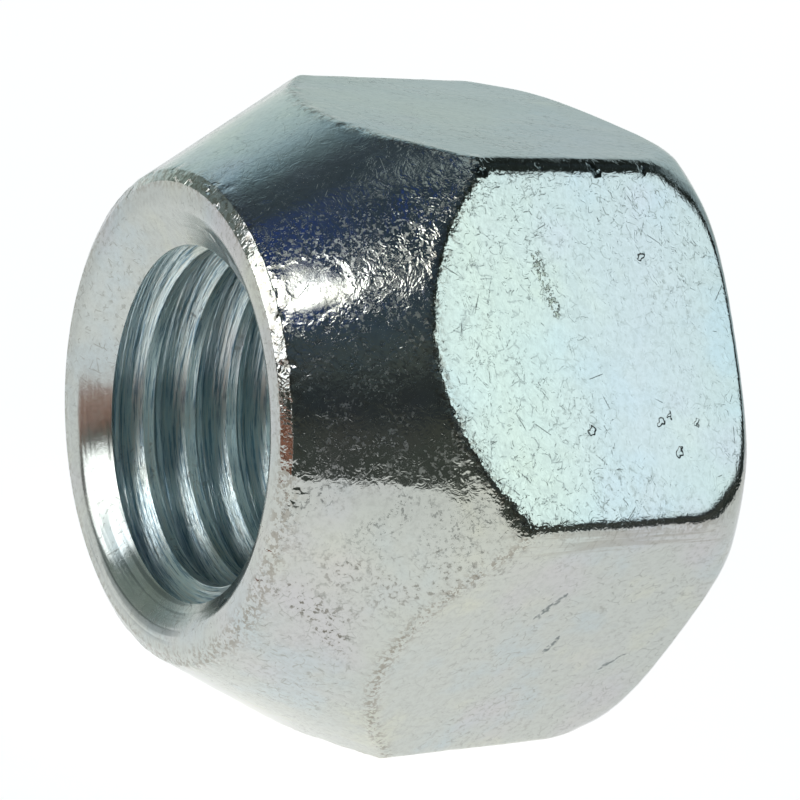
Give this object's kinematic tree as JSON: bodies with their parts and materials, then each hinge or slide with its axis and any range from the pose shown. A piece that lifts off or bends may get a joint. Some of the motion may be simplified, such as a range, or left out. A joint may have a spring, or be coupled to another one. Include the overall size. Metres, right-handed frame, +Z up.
{
  "type": "lug nut",
  "caption": "Open-ended wheel lug nut with a conical seat, hexagon flats and a threaded through bore, in bright zinc-plated steel.",
  "frame": {"origin": "on the ground plane, below the middle of the nut's length; the nut lies on one hexagon flat", "axes": "+X along the nut's axis from the conical seat end to the outer end, +Z up, +Y to the left when looking along +X"},
  "size_m": [0.0146, 0.0218, 0.019],
  "materials": {
    "zinc_plated_steel": "bright zinc plate with a faint blue and yellow passivation tint, scuffed"
  },
  "bodies": {
    "root": {"nut_body": "zinc_plated_steel"}
  },
  "joints": []
}
